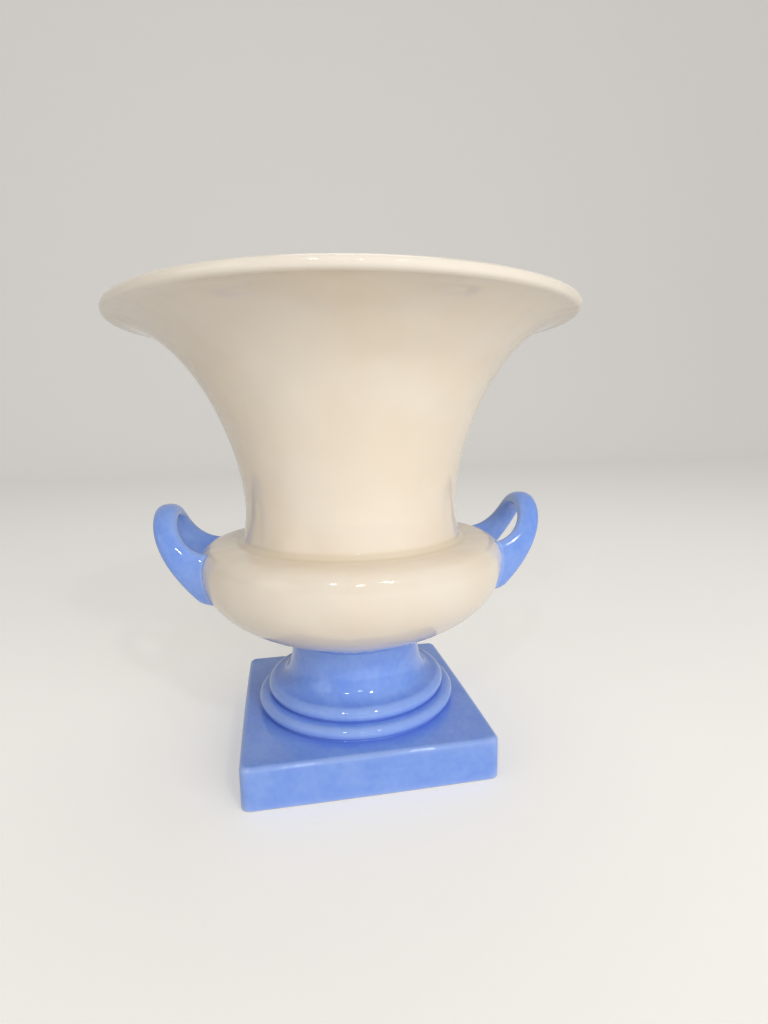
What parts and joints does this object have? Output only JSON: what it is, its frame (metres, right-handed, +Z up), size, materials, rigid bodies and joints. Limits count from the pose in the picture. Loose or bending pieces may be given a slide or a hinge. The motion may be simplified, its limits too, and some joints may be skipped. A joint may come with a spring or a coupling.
{
  "type": "urn vase",
  "caption": "Footed ceramic urn vase: flared bell on a squat round bowl, upright loop handles at the sides, ringed round foot on a square plinth.",
  "frame": {"origin": "centre of the square plinth's underside, on the surface that the vase stands on", "axes": "+Z up through the mouth; the plinth's sides face X and Y; the handles lie along X, turned 2.8 degrees from it as on the pictured vase; the front faces -Y"},
  "size_m": [0.216, 0.216, 0.2147],
  "materials": {
    "ivory_glaze": "glossy cream-white glaze",
    "blue_glaze": "glossy cornflower-blue glaze"
  },
  "bodies": {
    "root": {"vase_body": "ivory_glaze", "pedestal_foot": "blue_glaze", "left_handle": "blue_glaze", "right_handle": "blue_glaze", "foot_joint_slip": "blue_glaze", "left_handle_front_slip": "blue_glaze", "left_handle_rear_slip": "blue_glaze", "right_handle_front_slip": "blue_glaze", "right_handle_rear_slip": "blue_glaze"}
  },
  "joints": []
}
